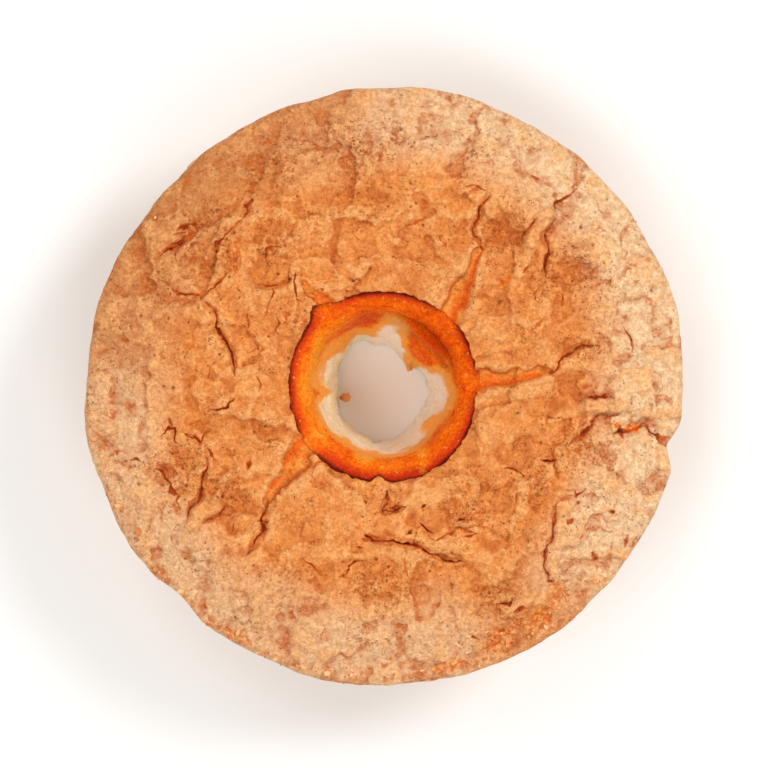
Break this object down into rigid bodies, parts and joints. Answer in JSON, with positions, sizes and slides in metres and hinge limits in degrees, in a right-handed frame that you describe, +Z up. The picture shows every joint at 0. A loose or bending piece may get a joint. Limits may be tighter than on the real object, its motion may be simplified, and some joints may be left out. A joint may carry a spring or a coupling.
{
  "type": "angel food cake",
  "caption": "Whole ring-shaped sponge cake with a cracked, browned top crust, a smooth darker collar sinking into a hole right through it, and sides that narrow to a flat base.",
  "frame": {"origin": "middle of the cake's round outline, on the surface that it stands on", "axes": "+Z up through the hole, with the cracked crust on top; +X and +Y as on the right and at the top of a view straight down on the crust"},
  "size_m": [0.2144, 0.2142, 0.0643],
  "materials": {
    "browned_sponge": "matt browned crust over pale sponge"
  },
  "bodies": {
    "root": {"cake": "browned_sponge"}
  },
  "joints": []
}
